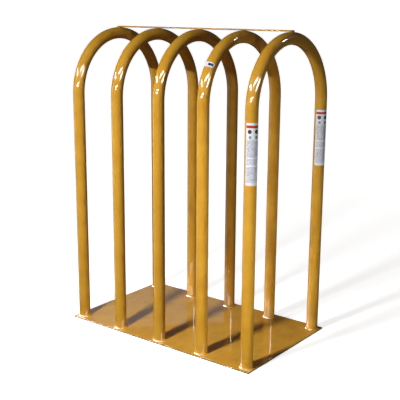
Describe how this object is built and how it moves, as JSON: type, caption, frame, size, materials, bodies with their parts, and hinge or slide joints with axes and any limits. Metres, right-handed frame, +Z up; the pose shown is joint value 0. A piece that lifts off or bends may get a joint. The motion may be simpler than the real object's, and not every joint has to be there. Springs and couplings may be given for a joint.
{
  "type": "tyre inflation cage",
  "caption": "Free-standing tyre inflation cage: a row of bent tube hoops welded on a flat steel base plate, tied along their crowns by a thin rod.",
  "frame": {"origin": "middle of the underside of the base plate", "axes": "+X along the row of hoops from hoop 1 to hoop 5, +Y from the front legs to the back legs, +Z up"},
  "size_m": [0.99, 0.6, 1.3364],
  "materials": {
    "yellow_enamel": "glossy enamel, lightly worn",
    "weld_enamel": "glossy enamel over rippled weld beads",
    "printed_film": "printed vinyl film, semi-gloss"
  },
  "bodies": {
    "root": {"base_plate": "yellow_enamel", "hoop_1": "yellow_enamel", "hoop_2": "yellow_enamel", "hoop_3": "yellow_enamel", "hoop_4": "yellow_enamel", "hoop_5": "yellow_enamel", "foot_weld_front_1": "weld_enamel", "foot_weld_front_2": "weld_enamel", "foot_weld_front_3": "weld_enamel", "foot_weld_front_4": "weld_enamel", "foot_weld_front_5": "weld_enamel", "foot_weld_back_1": "weld_enamel", "foot_weld_back_2": "weld_enamel", "foot_weld_back_3": "weld_enamel", "foot_weld_back_4": "weld_enamel", "foot_weld_back_5": "weld_enamel", "tie_rod": "yellow_enamel", "tie_rod_weld_1": "weld_enamel", "tie_rod_weld_2": "weld_enamel", "tie_rod_weld_3": "weld_enamel", "tie_rod_weld_4": "weld_enamel", "tie_rod_weld_5": "weld_enamel", "leg_label_front": "printed_film", "leg_label_back": "printed_film", "small_label": "printed_film"}
  },
  "joints": []
}
